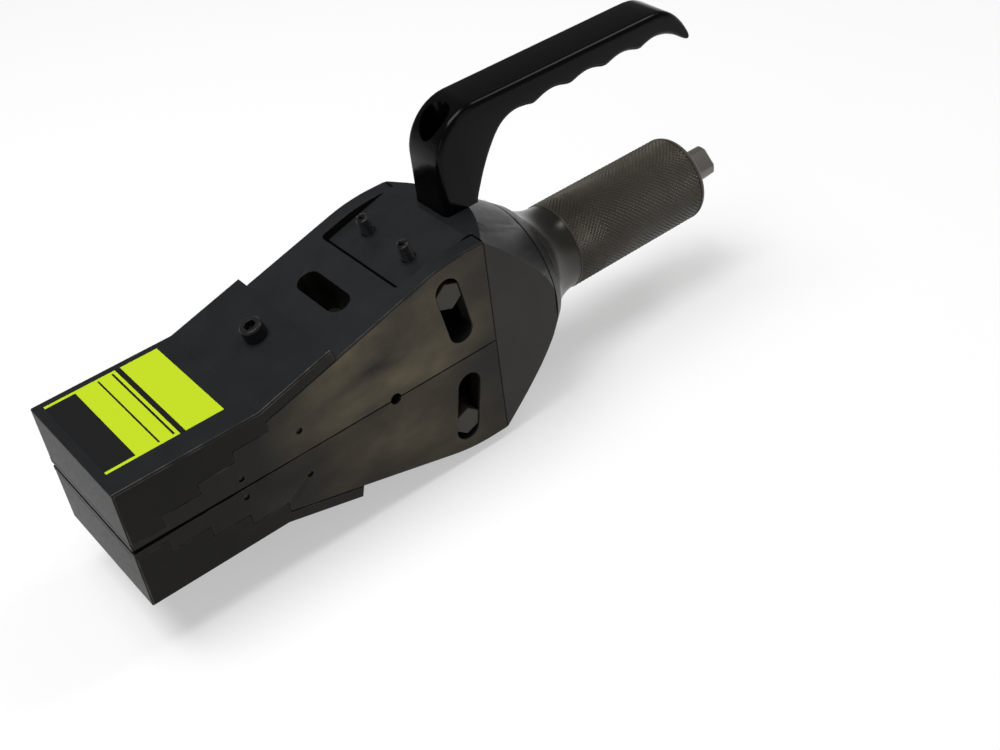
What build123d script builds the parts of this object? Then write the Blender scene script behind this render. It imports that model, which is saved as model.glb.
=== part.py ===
"""Mechanical flange spreader, closed.

Two stepped jaws lie one above the other and carry a stepped block each. A double wedge with
flanged ramps sits between them. A square-ended screw turns in the knurled sleeve and drives
the wedge towards the nose, and the wedge parts the jaws evenly.

Millimetres. X runs from the nose to the square drive, Y across, Z from jaw to jaw. The origin
is the middle of the gap at the tips of the nose, on the plane where the jaws part.
"""

import os
from math import atan2, cos, hypot, radians, sin, sqrt, tan

from build123d import *

# Running gaps and small allowances
RUN_FIT = 0.05
SLIDE_GAP = 0.3
WEDGE_GAP = 0.15
SEAT_GAP = 0.2
EDGE_BREAK = 0.6

# Jaws
WIDTH = 60.0
JAW_LENGTH = 150.0
JAW_REAR_HEIGHT = 43.0
JAW_CROWN_RADIUS = 70.0
RAMP_ANGLE = 15.7
TIP_THICKNESS = 3.0
TIP_LENGTH = 13.0
STEP_LENGTH = 14.2
STEP_RISE = 4.5
STEP_COUNT = 4
PARTING_GAP = 0.25
NOSE_RELIEF = 0.9
NOSE_RELIEF_LENGTH = 58.0

# Pocket between the cheeks of each jaw, which the arms of the housing fill
CHEEK_THICKNESS = 6.5
POCKET_START = 116.5
POCKET_CORNER = 2.0

# Slots in the cheeks, and how far each jaw rises
SLOT_LEAN = 10.0
JAW_LIFT = 14.0
BOLT_X = 133.0
BOLT_Z = 28.8
SLOT_OUTER_ROOM = 2.6
SLOT_INNER_ROOM = 2.1

# Inspection window in the outer wall of each jaw
WINDOW_X = 101.0
WINDOW_WIDTH = 9.4
WINDOW_LENGTH = 27.3

# Small holes in the sides of the jaws
PARTING_HOLE_X = 104.6
PARTING_HOLE_RADIUS = 2.2
PARTING_HOLE_DEPTH = 8.0
SPRING_PIN_RADIUS = 1.25
SPRING_PIN_LENGTH = 11.0
SPRING_PIN_RECESS = 0.8
SPRING_PIN_X = (41.8, 66.0)
SPRING_PIN_HEIGHT = 4.9

# Wedge, its flanges and its tail
WEDGE_ANGLE = 13.5
WEDGE_APEX = 45.0
WEDGE_TIP = 62.0
WEDGE_REAR = 140.0
WEDGE_HALF_WIDTH = 13.0
FLANGE_THICKNESS = 4.0
WEB_HALF_WIDTH = 8.0
TAIL_RADIUS = 12.5
TAIL_END = 241.5
NUT_LENGTH = 22.0
NUT_RADIUS = 10.0
NUT_PIN_RADIUS = 1.5

# Stepped blocks
NOSE_HEIGHT = 25.4
BLOCK_THICKNESS = 4.65
BLOCK_END = 85.3
BLOCK_SCREW_X = 74.0

# Cap screws of the blocks
CAP_RADIUS = 2.5
CAP_HEAD_RADIUS = 4.25
CAP_HEAD_HEIGHT = 5.6
CAP_SOCKET = 4.0
CAP_SOCKET_DEPTH = 2.8
CAP_LENGTH = 15.0

# Housing and its arms
HOUSING_HEIGHT = 43.8
HOUSING_REAR = 179.4
HOUSING_REAR_PROUD = 0.7
HOUSING_EDGE = 0.6
HOUSING_CORNER = 1.0
ARM_START = 119.2
ARM_SINK = 3.0
ARM_INNER = 23.5

# Guide bolts and the screws that lock them
GUIDE_RADIUS = 3.0
GUIDE_DEPTH = 16.5
GUIDE_HEX = 10.0
GUIDE_HEAD = 6.3
LOCK_RADIUS = 2.5
LOCK_PROUD = 7.3
LOCK_SPREAD = 12.2
LOCK_SOCKET = 2.5
LOCK_SOCKET_DEPTH = 2.5

# Guide bush and wiper of the wedge's tail
BUSH_RADIUS = 16.0
BUSH_LENGTH = 14.0
WIPER_LENGTH = 3.0
TAIL_ROOM = 0.7

# Sleeve: flange, neck and knurled grip
SPIGOT_RADIUS = 20.0
SPIGOT_LENGTH = 9.0
FLANGE_STEP = 0.3
FLANGE_END = 184.7
FLANGE_END_RADIUS = 26.6
NECK_RADIUS = 17.6
GRIP_RADIUS = 18.0
GRIP_START = 203.0
GRIP_END = 272.0
GRIP_ROUND = 3.0
SLEEVE_BORE = 13.0

# Screw and its bearings
SCREW_RADIUS = 7.0
SCREW_START = 157.0
COLLAR_RADIUS = 12.5
COLLAR_LENGTH = 4.6
JOURNAL_RADIUS = 9.0
DRIVE_SQUARE = 12.7
DRIVE_LENGTH = 16.0
DRIVE_CORNER = 7.5
DRIVE_TURN = 45.0
DRIVE_CHAMFER = 1.6
REAR_WALL = 13.0
WASHER_THICKNESS = 1.9
BALL_RADIUS = 1.4
BALL_COUNT = 16
CAGE_THICKNESS = 1.5
JOURNAL_BUSH_RADIUS = 11.0
JOURNAL_BUSH_LENGTH = 8.6
SEAL_RADIUS = 0.9
RING_THICKNESS = 1.5
RING_DEPTH = 0.9
RING_WIDTH = 2.9
RING_OPENING = 40.0

# Carry handle and its bolt
HANDLE_WIDTH = 19.0
HANDLE_FRONT = 150.0
HANDLE_FOOT = 15.5
HANDLE_WAIST = 8.0
HANDLE_TOP = 82.0
HANDLE_BEND = 18.5
HANDLE_END = 272.3
HOOK_START = 256.0
HOOK_BOTTOM = 66.4
HOOK_LIP = 1.5
UNDERSIDE = 70.2
SCALLOP_DEPTH = 1.9
SCALLOP_PITCH = 17.2
SCALLOP_COUNT = 3
CUSP_ROUND = 3.0
LAST_CUSP = 246.6
HANDLE_ROUND = 1.4
HANDLE_BOLT_X = 157.4
HANDLE_SEAT = 54.0
HANDLE_BOLT_RADIUS = 3.0
HANDLE_COUNTERBORE = 5.8
HANDLE_HEAD_RADIUS = 5.0
HANDLE_HEAD_HEIGHT = 6.0
HANDLE_BOLT_LENGTH = 25.0
HANDLE_SOCKET = 5.0
DOWEL_RADIUS = 1.5
DOWEL_LENGTH = 10.0
DOWEL_SPREAD = 6.4

# Worked-out places
SLOPE = tan(radians(RAMP_ANGLE))
WEDGE_SLOPE = tan(radians(WEDGE_ANGLE))
HALF = WIDTH / 2
STEP_END = TIP_LENGTH + (STEP_COUNT - 1) * STEP_LENGTH
RAMP_START_HEIGHT = TIP_THICKNESS + STEP_COUNT * STEP_RISE
POCKET_HALF = HALF - CHEEK_THICKNESS
ARM_HALF = POCKET_HALF - SLIDE_GAP
HOUSING_FRONT = JAW_LENGTH + SLIDE_GAP
HOUSING_REAR_RADIUS = HALF + HOUSING_REAR_PROUD
FLANGE_RADIUS = HOUSING_REAR_RADIUS - FLANGE_STEP
RAMP_UP = (-sin(radians(RAMP_ANGLE)), cos(radians(RAMP_ANGLE)))


def ramp_height(x):
    """Height of the jaw's ramp above the parting plane."""
    return RAMP_START_HEIGHT + SLOPE * (x - STEP_END)


def wedge_height(x):
    """Height of the floor of the jaw's wedge slot above the parting plane."""
    return WEDGE_SLOPE * (x - WEDGE_APEX)


def arm_height(x):
    """Height of the sloping top of the housing's arm."""
    return ramp_height(x) - ARM_SINK / cos(radians(RAMP_ANGLE))


def on_ramp(x, rise=0.0):
    """A point above the jaw's ramp, standing off it square to the ramp."""
    return (x + rise * RAMP_UP[0], 0, ramp_height(x) + rise * RAMP_UP[1])


def ramp_plane(x, rise=0.0):
    """A plane square to the ramp's upward direction."""
    return Plane(origin=on_ramp(x, rise), x_dir=(0, 1, 0), z_dir=(RAMP_UP[0], 0, RAMP_UP[1]))


def finish(piece, name):
    """Name a finished piece and write it."""
    piece.label = name
    export_step(piece, f"parts/{name}.step")


def hexagon_across(flats):
    """Corner radius of a hexagon with this distance between its flats."""
    return flats / sqrt(3)


os.makedirs("parts", exist_ok=True)

# Jaw: side outline with four steps, a ramp and a gently crowned rear
steps = []
for number in range(STEP_COUNT):
    step_x = TIP_LENGTH + number * STEP_LENGTH
    step_z = TIP_THICKNESS + number * STEP_RISE
    steps += [(step_x, step_z), (step_x, step_z + STEP_RISE)]
crown_x = STEP_END + (JAW_REAR_HEIGHT - RAMP_START_HEIGHT) / SLOPE
jaw_outline = (
    [(0, NOSE_RELIEF), (0, TIP_THICKNESS)]
    + steps
    + [
        (crown_x, JAW_REAR_HEIGHT),
        (JAW_LENGTH, JAW_REAR_HEIGHT),
        (JAW_LENGTH, PARTING_GAP),
        (NOSE_RELIEF_LENGTH, PARTING_GAP),
    ]
)
lean = radians(SLOT_LEAN)
jaw_path = JAW_LIFT / cos(lean)
slot_inner = jaw_path + SLOT_INNER_ROOM
slot_middle = (SLOT_OUTER_ROOM - slot_inner) / 2
slot_width = GUIDE_HEX + 2 * WEDGE_GAP

with BuildPart() as upper_jaw:
    with BuildSketch(Plane.XZ) as jaw_side:
        with BuildLine():
            Polyline(*jaw_outline, close=True)
        make_face()
        crown = jaw_side.vertices().sort_by_distance((crown_x, JAW_REAR_HEIGHT, 0))[0]
        fillet(crown, JAW_CROWN_RADIUS)
    extrude(amount=HALF, both=True)
    outer_edges = (
        upper_jaw.edges()
        .filter_by(lambda edge: abs(abs(edge.center().Y) - HALF) < 0.01)
        .filter_by(lambda edge: edge.center().Z > ramp_height(STEP_END) and edge.length > STEP_RISE * 2)
        .filter_by(lambda edge: edge.center().X < JAW_LENGTH - 1)
    )
    chamfer(outer_edges, EDGE_BREAK)
    # Pocket for the arm of the housing, open to the rear
    pocket_length = JAW_LENGTH - POCKET_START
    with BuildSketch(Plane.XY):
        with Locations((POCKET_START + pocket_length, 0)):
            RectangleRounded(2 * pocket_length, 2 * POCKET_HALF, POCKET_CORNER)
    extrude(amount=2 * JAW_REAR_HEIGHT, mode=Mode.SUBTRACT)
    # Leaning slots through both cheeks
    slot_x = BOLT_X - slot_middle * sin(lean)
    slot_z = BOLT_Z + slot_middle * cos(lean)
    with BuildSketch(Plane.XZ):
        with Locations((slot_x, slot_z)):
            SlotCenterToCenter(slot_inner + SLOT_OUTER_ROOM, slot_width, rotation=90 + SLOT_LEAN)
    extrude(amount=WIDTH, both=True, mode=Mode.SUBTRACT)
    # T-shaped slot that holds the wedge's flange, parallel to the wedge's ramp
    slot_plane = Plane(
        origin=(WEDGE_APEX, 0, 0),
        x_dir=(0, 1, 0),
        z_dir=(cos(radians(WEDGE_ANGLE)), 0, sin(radians(WEDGE_ANGLE))),
    )
    flange_slot = FLANGE_THICKNESS + 2 * WEDGE_GAP
    with BuildSketch(slot_plane):
        with Locations((0, -flange_slot / 2)):
            Rectangle(2 * (WEDGE_HALF_WIDTH + SLIDE_GAP), flange_slot)
        with Locations((0, -JAW_REAR_HEIGHT / 2)):
            Rectangle(2 * (WEB_HALF_WIDTH + SLIDE_GAP), JAW_REAR_HEIGHT)
    extrude(amount=JAW_LENGTH - WEDGE_APEX, both=True, mode=Mode.SUBTRACT)
    # Room for the round tail, which enters between the jaws as they part
    with BuildSketch(Plane.YZ.offset(WEDGE_REAR)):
        Circle(TAIL_RADIUS + SLIDE_GAP + RUN_FIT)
    extrude(
        amount=(WEDGE_REAR - WEDGE_APEX) / cos(radians(WEDGE_ANGLE)),
        dir=(-cos(radians(WEDGE_ANGLE)), 0, -sin(radians(WEDGE_ANGLE))),
        mode=Mode.SUBTRACT,
    )
    # Window through the outer wall, square to the ramp
    with BuildSketch(ramp_plane(WINDOW_X)):
        SlotOverall(WINDOW_LENGTH, WINDOW_WIDTH)
    extrude(amount=-(ramp_height(WINDOW_X) - wedge_height(WINDOW_X)), both=True, mode=Mode.SUBTRACT)
    # Half of the hole on the parting line, and the holes of the spring pins
    with BuildSketch(Plane.XZ.offset(HALF)):
        with Locations((PARTING_HOLE_X, 0)):
            Circle(PARTING_HOLE_RADIUS)
    extrude(amount=-PARTING_HOLE_DEPTH, mode=Mode.SUBTRACT)
    with BuildSketch(Plane.XZ.offset(-HALF)):
        with Locations((PARTING_HOLE_X, 0)):
            Circle(PARTING_HOLE_RADIUS)
    extrude(amount=PARTING_HOLE_DEPTH, mode=Mode.SUBTRACT)
    for side in (1, -1):
        with BuildSketch(Plane.XZ.offset(side * HALF)):
            for pin_x in SPRING_PIN_X:
                with Locations((pin_x, wedge_height(pin_x) + SPRING_PIN_HEIGHT)):
                    Circle(SPRING_PIN_RADIUS)
        extrude(amount=-side * (SPRING_PIN_LENGTH + SPRING_PIN_RECESS), mode=Mode.SUBTRACT)
    # Threaded hole of the block's screw
    with BuildSketch(ramp_plane(BLOCK_SCREW_X)):
        Circle(CAP_RADIUS + RUN_FIT)
    extrude(amount=-(CAP_LENGTH - BLOCK_THICKNESS + 1), mode=Mode.SUBTRACT)

with BuildPart() as lower_jaw:
    add(mirror(upper_jaw.part, about=Plane.XY, mode=Mode.PRIVATE))

# Spring pins, pressed in from both sides of each jaw
with BuildPart() as upper_spring_pins:
    for side in (1, -1):
        with BuildSketch(Plane.XZ.offset(side * (HALF - SPRING_PIN_RECESS))):
            for pin_x in SPRING_PIN_X:
                with Locations((pin_x, wedge_height(pin_x) + SPRING_PIN_HEIGHT)):
                    Circle(SPRING_PIN_RADIUS - RUN_FIT)
        extrude(amount=-side * SPRING_PIN_LENGTH)

with BuildPart() as lower_spring_pins:
    add(mirror(upper_spring_pins.part, about=Plane.XY, mode=Mode.PRIVATE))

# Stepped block: flat nose, ramp over the jaw's ramp, steps underneath
block_rise = BLOCK_THICKNESS / cos(radians(RAMP_ANGLE))
kink_x = STEP_END + (NOSE_HEIGHT - block_rise - RAMP_START_HEIGHT) / SLOPE
block_rear_top = on_ramp(BLOCK_END, BLOCK_THICKNESS)
block_rear_low = on_ramp(BLOCK_END)
under_steps = []
for number in range(STEP_COUNT):
    step_x = TIP_LENGTH + number * STEP_LENGTH - SEAT_GAP
    step_z = TIP_THICKNESS + number * STEP_RISE + SEAT_GAP
    under_steps += [(step_x, step_z), (step_x, step_z + STEP_RISE)]
under_steps[-1] = (STEP_END - SEAT_GAP, ramp_height(STEP_END - SEAT_GAP))
block_outline = (
    [(0, TIP_THICKNESS + SEAT_GAP)]
    + under_steps
    + [
        (block_rear_low[0], block_rear_low[2]),
        (block_rear_top[0], block_rear_top[2]),
        (kink_x, NOSE_HEIGHT),
        (0, NOSE_HEIGHT),
    ]
)

with BuildPart() as upper_block:
    with BuildSketch(Plane.XZ):
        with BuildLine():
            Polyline(*block_outline, close=True)
        make_face()
    extrude(amount=HALF, both=True)
    nose_edge = upper_block.edges().filter_by(Axis.Y).sort_by_distance((0, 0, NOSE_HEIGHT))[0]
    fillet(nose_edge, EDGE_BREAK)
    top_edges = (
        upper_block.edges()
        .filter_by(lambda edge: abs(abs(edge.center().Y) - HALF) < 0.01)
        .filter_by(lambda edge: edge.center().Z > NOSE_HEIGHT - 0.01)
    )
    chamfer(top_edges, EDGE_BREAK)
    with BuildSketch(ramp_plane(BLOCK_SCREW_X, BLOCK_THICKNESS)):
        Circle(CAP_RADIUS + SEAT_GAP)
    extrude(amount=-2 * BLOCK_THICKNESS, mode=Mode.SUBTRACT)

with BuildPart() as lower_block:
    add(mirror(upper_block.part, about=Plane.XY, mode=Mode.PRIVATE))

# Cap screw of the block, its head standing on the ramp
with BuildPart() as upper_block_screw:
    with BuildSketch(ramp_plane(BLOCK_SCREW_X, BLOCK_THICKNESS)):
        Circle(CAP_HEAD_RADIUS)
    extrude(amount=CAP_HEAD_HEIGHT)
    head_rim = upper_block_screw.edges().sort_by(Axis.Z)[-1]
    chamfer(head_rim, EDGE_BREAK)
    with BuildSketch(ramp_plane(BLOCK_SCREW_X, BLOCK_THICKNESS)):
        Circle(CAP_RADIUS)
    extrude(amount=-CAP_LENGTH)
    with BuildSketch(ramp_plane(BLOCK_SCREW_X, BLOCK_THICKNESS + CAP_HEAD_HEIGHT)):
        RegularPolygon(hexagon_across(CAP_SOCKET), 6)
    extrude(amount=-CAP_SOCKET_DEPTH, mode=Mode.SUBTRACT)

with BuildPart() as lower_block_screw:
    add(mirror(upper_block_screw.part, about=Plane.XY, mode=Mode.PRIVATE))

# Wedge: two inclined flanges on a tapering web, with a round hollow tail
flange_rise = FLANGE_THICKNESS / cos(radians(WEDGE_ANGLE))
gap_rise = WEDGE_GAP / cos(radians(WEDGE_ANGLE))
tip_half = wedge_height(WEDGE_TIP) - gap_rise
rear_half = wedge_height(WEDGE_REAR) - gap_rise
side_pocket_start = WEDGE_APEX + (flange_rise + gap_rise) / WEDGE_SLOPE

with BuildPart() as wedge:
    with BuildSketch(Plane.XZ):
        with BuildLine():
            Polyline(
                (WEDGE_TIP, -tip_half),
                (WEDGE_TIP, tip_half),
                (WEDGE_REAR, rear_half),
                (WEDGE_REAR, -rear_half),
                close=True,
            )
        make_face()
    extrude(amount=WEDGE_HALF_WIDTH, both=True)
    tip_edges = wedge.edges().filter_by(Axis.Y).group_by(Axis.X)[0]
    fillet(tip_edges, tip_half / 2)
    for side in (1, -1):
        with BuildSketch(Plane.XZ.offset(side * (WEDGE_HALF_WIDTH + 1))):
            with BuildLine():
                Polyline(
                    (side_pocket_start, 0),
                    (WEDGE_REAR + 1, wedge_height(WEDGE_REAR + 1) - gap_rise - flange_rise),
                    (WEDGE_REAR + 1, gap_rise + flange_rise - wedge_height(WEDGE_REAR + 1)),
                    close=True,
                )
            make_face()
        extrude(amount=-side * (WEDGE_HALF_WIDTH + 1 - WEB_HALF_WIDTH), mode=Mode.SUBTRACT)
    with BuildSketch(Plane.YZ.offset(WEDGE_REAR)):
        Circle(TAIL_RADIUS)
    extrude(amount=TAIL_END - WEDGE_REAR)
    with BuildSketch(Plane.YZ.offset(SCREW_START - 2)):
        Circle(SCREW_RADIUS + SLIDE_GAP)
    extrude(amount=TAIL_END - SCREW_START + 2, mode=Mode.SUBTRACT)
    with BuildSketch(Plane.YZ.offset(TAIL_END - NUT_LENGTH)):
        Circle(NUT_RADIUS + RUN_FIT)
    extrude(amount=NUT_LENGTH, mode=Mode.SUBTRACT)
    with BuildSketch(Plane.XZ):
        with Locations((TAIL_END - NUT_LENGTH / 2, 0)):
            Circle(NUT_PIN_RADIUS + RUN_FIT)
    extrude(amount=TAIL_RADIUS + 1, both=True, mode=Mode.SUBTRACT)

# Nut in the tail's end, and the two pins that hold it
with BuildPart() as drive_nut:
    with BuildSketch(Plane.YZ.offset(TAIL_END - NUT_LENGTH)):
        Circle(NUT_RADIUS)
        Circle(SCREW_RADIUS + RUN_FIT, mode=Mode.SUBTRACT)
    extrude(amount=NUT_LENGTH)
    with BuildSketch(Plane.XZ):
        with Locations((TAIL_END - NUT_LENGTH / 2, 0)):
            Circle(NUT_PIN_RADIUS + RUN_FIT)
    extrude(amount=NUT_RADIUS + 1, both=True, mode=Mode.SUBTRACT)

with BuildPart() as nut_pins:
    pin_inner = SCREW_RADIUS + SLIDE_GAP
    pin_outer = TAIL_RADIUS - SLIDE_GAP
    for side in (1, -1):
        with BuildSketch(Plane.XZ.offset(side * pin_outer)):
            with Locations((TAIL_END - NUT_LENGTH / 2, 0)):
                Circle(NUT_PIN_RADIUS)
        extrude(amount=-side * (pin_outer - pin_inner))

# Housing: cone with two side flats and flat top and bottom, and an arm above and below
front_radius = hypot(HALF, HOUSING_HEIGHT) - HOUSING_CORNER
lock_drop = (arm_height(BOLT_X) - BOLT_Z) * cos(radians(RAMP_ANGLE))
spigot_start = HOUSING_REAR - SPIGOT_LENGTH
bush_start = spigot_start - BUSH_LENGTH
wiper_start = bush_start - WIPER_LENGTH

with BuildPart() as housing:
    with BuildSketch(Plane.XZ):
        with BuildLine():
            Polyline(
                (HOUSING_FRONT, 0),
                (HOUSING_FRONT, front_radius),
                (HOUSING_REAR, HOUSING_REAR_RADIUS),
                (HOUSING_REAR, 0),
                close=True,
            )
        make_face()
    revolve(axis=Axis.X)
    rear_rim = housing.edges().filter_by(GeomType.CIRCLE).sort_by(Axis.X)[-1]
    fillet(rear_rim, HOUSING_EDGE)
    with BuildSketch(Plane.YZ.offset(HOUSING_FRONT - 1)):
        Rectangle(WIDTH, 2 * HOUSING_HEIGHT)
    extrude(amount=HOUSING_REAR - HOUSING_FRONT + 2, mode=Mode.INTERSECT)
    with BuildSketch(Plane.XZ):
        with BuildLine():
            Polyline(
                (ARM_START, ARM_INNER),
                (ARM_START, arm_height(ARM_START)),
                (HOUSING_FRONT + 1, arm_height(HOUSING_FRONT + 1)),
                (HOUSING_FRONT + 1, ARM_INNER),
                close=True,
            )
        make_face()
        with Locations((HOUSING_FRONT + 1, 0)):
            Rectangle(2 * (HOUSING_FRONT - ARM_START + 2), 2 * HOUSING_HEIGHT, mode=Mode.INTERSECT)
        mirror(about=Plane.XZ)
    extrude(amount=ARM_HALF, both=True)
    # Bores for the tail, its wiper and bush, and the sleeve's spigot
    with BuildSketch(Plane.YZ.offset(HOUSING_FRONT - 1)):
        Circle(TAIL_RADIUS + TAIL_ROOM)
    extrude(amount=HOUSING_REAR - HOUSING_FRONT + 2, mode=Mode.SUBTRACT)
    with BuildSketch(Plane.YZ.offset(wiper_start)):
        Circle(BUSH_RADIUS + RUN_FIT)
    extrude(amount=HOUSING_REAR - wiper_start + 1, mode=Mode.SUBTRACT)
    with BuildSketch(Plane.YZ.offset(spigot_start)):
        Circle(SPIGOT_RADIUS + RUN_FIT)
    extrude(amount=SPIGOT_LENGTH + 1, mode=Mode.SUBTRACT)
    # Holes of the guide bolts and of the screws that lock them, in both arms
    with BuildSketch(Plane.XZ.offset(HALF)):
        with Locations((BOLT_X, BOLT_Z), (BOLT_X, -BOLT_Z)):
            Circle(GUIDE_RADIUS + RUN_FIT)
    extrude(amount=-(HALF - ARM_HALF + GUIDE_DEPTH), mode=Mode.SUBTRACT)
    with BuildSketch(Plane.XZ.offset(-HALF)):
        with Locations((BOLT_X, BOLT_Z), (BOLT_X, -BOLT_Z)):
            Circle(GUIDE_RADIUS + RUN_FIT)
    extrude(amount=HALF - ARM_HALF + GUIDE_DEPTH, mode=Mode.SUBTRACT)
    for flip in (1, -1):
        lock_plane = Plane(
            origin=(BOLT_X, 0, flip * BOLT_Z),
            x_dir=(0, 1, 0),
            z_dir=(RAMP_UP[0], 0, flip * RAMP_UP[1]),
        )
        with BuildSketch(lock_plane):
            with Locations((LOCK_SPREAD, 0), (-LOCK_SPREAD, 0)):
                Circle(LOCK_RADIUS + RUN_FIT)
        extrude(amount=lock_drop + LOCK_PROUD, mode=Mode.SUBTRACT)
    # Threaded hole and dowel holes of the handle
    with BuildSketch(Plane.XY.offset(HOUSING_HEIGHT)):
        with Locations((HANDLE_BOLT_X, 0)):
            Circle(HANDLE_BOLT_RADIUS + RUN_FIT)
    extrude(amount=-(HANDLE_BOLT_LENGTH - HANDLE_SEAT + HOUSING_HEIGHT + 1), mode=Mode.SUBTRACT)
    with BuildSketch(Plane.XY.offset(HOUSING_HEIGHT)):
        with Locations((HANDLE_BOLT_X, DOWEL_SPREAD), (HANDLE_BOLT_X, -DOWEL_SPREAD)):
            Circle(DOWEL_RADIUS + RUN_FIT)
    extrude(amount=-DOWEL_LENGTH / 2, mode=Mode.SUBTRACT)

# Guide bolts: hexagon heads fill the leaning slots, one on each side of each arm
with BuildPart() as guide_bolts:
    for side in (1, -1):
        seat = Plane.XZ.offset(side * ARM_HALF)
        for flip in (1, -1):
            with BuildSketch(seat):
                with Locations((BOLT_X, flip * BOLT_Z)):
                    RegularPolygon(hexagon_across(GUIDE_HEX), 6, rotation=90 + flip * SLOT_LEAN)
            extrude(amount=side * GUIDE_HEAD)
            with BuildSketch(seat):
                with Locations((BOLT_X, flip * BOLT_Z)):
                    Circle(GUIDE_RADIUS)
            extrude(amount=-side * GUIDE_DEPTH)

# Grub screws that lock the guide bolts, standing proud of the arms
with BuildPart() as lock_screws:
    for flip in (1, -1):
        lock_plane = Plane(
            origin=(BOLT_X, 0, flip * BOLT_Z),
            x_dir=(0, 1, 0),
            z_dir=(RAMP_UP[0], 0, flip * RAMP_UP[1]),
        )
        lock_start = GUIDE_RADIUS + RUN_FIT
        with BuildSketch(lock_plane.offset(lock_start)):
            with Locations((LOCK_SPREAD, 0), (-LOCK_SPREAD, 0)):
                Circle(LOCK_RADIUS)
        extrude(amount=lock_drop + LOCK_PROUD - lock_start)
        with BuildSketch(lock_plane.offset(lock_drop + LOCK_PROUD)):
            with Locations((LOCK_SPREAD, 0), (-LOCK_SPREAD, 0)):
                RegularPolygon(hexagon_across(LOCK_SOCKET), 6)
        extrude(amount=-LOCK_SOCKET_DEPTH, mode=Mode.SUBTRACT)

# Bush and wiper that guide and clean the wedge's tail
with BuildPart() as tail_bush:
    with BuildSketch(Plane.YZ.offset(bush_start)):
        Circle(BUSH_RADIUS)
        Circle(TAIL_RADIUS + RUN_FIT, mode=Mode.SUBTRACT)
    extrude(amount=BUSH_LENGTH)

with BuildPart() as tail_wiper:
    with BuildSketch(Plane.YZ.offset(wiper_start)):
        Circle(BUSH_RADIUS)
        Circle(TAIL_RADIUS + 2 * RUN_FIT, mode=Mode.SUBTRACT)
    extrude(amount=WIPER_LENGTH)

# Sleeve: spigot, flange, curved neck and grip, bored for the tail and the screw
wall_start = GRIP_END - REAR_WALL
neck_run = GRIP_START - FLANGE_END
neck_rise = FLANGE_END_RADIUS - NECK_RADIUS
neck_curve = (neck_run**2 + neck_rise**2) / (2 * neck_rise)
neck_mid = atan2(neck_run, neck_curve - neck_rise) / 2
seal_x = GRIP_END - 2.4
journal_bore = JOURNAL_RADIUS + 2 * RUN_FIT
ring_x = wall_start - 2 * WASHER_THICKNESS - 2 * BALL_RADIUS - SEAT_GAP - COLLAR_LENGTH - SEAT_GAP

with BuildPart() as sleeve:
    with BuildSketch(Plane.XZ):
        with BuildLine():
            Line((spigot_start, 0), (spigot_start, SPIGOT_RADIUS))
            Line((spigot_start, SPIGOT_RADIUS), (HOUSING_REAR, SPIGOT_RADIUS))
            Line((HOUSING_REAR, SPIGOT_RADIUS), (HOUSING_REAR, FLANGE_RADIUS))
            Line((HOUSING_REAR, FLANGE_RADIUS), (FLANGE_END, FLANGE_END_RADIUS))
            ThreePointArc(
                (FLANGE_END, FLANGE_END_RADIUS),
                (
                    GRIP_START - neck_curve * sin(neck_mid),
                    NECK_RADIUS + neck_curve * (1 - cos(neck_mid)),
                ),
                (GRIP_START, NECK_RADIUS),
            )
            Line((GRIP_START, NECK_RADIUS), (GRIP_START, GRIP_RADIUS))
            Line((GRIP_START, GRIP_RADIUS), (GRIP_END - GRIP_ROUND, GRIP_RADIUS))
            RadiusArc(
                (GRIP_END - GRIP_ROUND, GRIP_RADIUS),
                (GRIP_END, GRIP_RADIUS - GRIP_ROUND),
                GRIP_ROUND,
            )
            Line((GRIP_END, GRIP_RADIUS - GRIP_ROUND), (GRIP_END, 0))
            Line((GRIP_END, 0), (spigot_start, 0))
        make_face()
    revolve(axis=Axis.X)
    with BuildSketch(Plane.YZ.offset(spigot_start)):
        Circle(SLEEVE_BORE)
    extrude(amount=wall_start - spigot_start, mode=Mode.SUBTRACT)
    with BuildSketch(Plane.YZ.offset(wall_start)):
        Circle(JOURNAL_BUSH_RADIUS + RUN_FIT)
    extrude(amount=JOURNAL_BUSH_LENGTH, mode=Mode.SUBTRACT)
    with BuildSketch(Plane.YZ.offset(wall_start)):
        Circle(journal_bore)
    extrude(amount=REAR_WALL, mode=Mode.SUBTRACT)
    with BuildSketch(Plane.YZ.offset(seal_x - SEAL_RADIUS - RUN_FIT)):
        Circle(JOURNAL_RADIUS + 2 * SEAL_RADIUS + 2 * RUN_FIT)
    extrude(amount=2 * (SEAL_RADIUS + RUN_FIT), mode=Mode.SUBTRACT)
    with BuildSketch(Plane.YZ.offset(ring_x - RING_THICKNESS - RUN_FIT)):
        Circle(SLEEVE_BORE + RING_DEPTH)
    extrude(amount=RING_THICKNESS + 2 * RUN_FIT, mode=Mode.SUBTRACT)

with BuildPart() as journal_bush:
    with BuildSketch(Plane.YZ.offset(wall_start)):
        Circle(JOURNAL_BUSH_RADIUS)
        Circle(JOURNAL_RADIUS + RUN_FIT, mode=Mode.SUBTRACT)
    extrude(amount=JOURNAL_BUSH_LENGTH)

with BuildPart() as journal_seal:
    with BuildSketch(Plane.XZ):
        with Locations((seal_x, JOURNAL_RADIUS + RUN_FIT + SEAL_RADIUS)):
            Circle(SEAL_RADIUS)
    revolve(axis=Axis.X)

# Split ring that keeps the screw's collar in the sleeve
with BuildPart() as retaining_ring:
    with BuildSketch(Plane.YZ.offset(ring_x - RING_THICKNESS)):
        Circle(SLEEVE_BORE + RING_DEPTH - RUN_FIT)
        Circle(SLEEVE_BORE + RING_DEPTH - RING_WIDTH, mode=Mode.SUBTRACT)
        with Locations((0, -SLEEVE_BORE)):
            Rectangle(2 * SLEEVE_BORE * sin(radians(RING_OPENING / 2)), 6 * RING_WIDTH, mode=Mode.SUBTRACT)
    extrude(amount=RING_THICKNESS)

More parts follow.
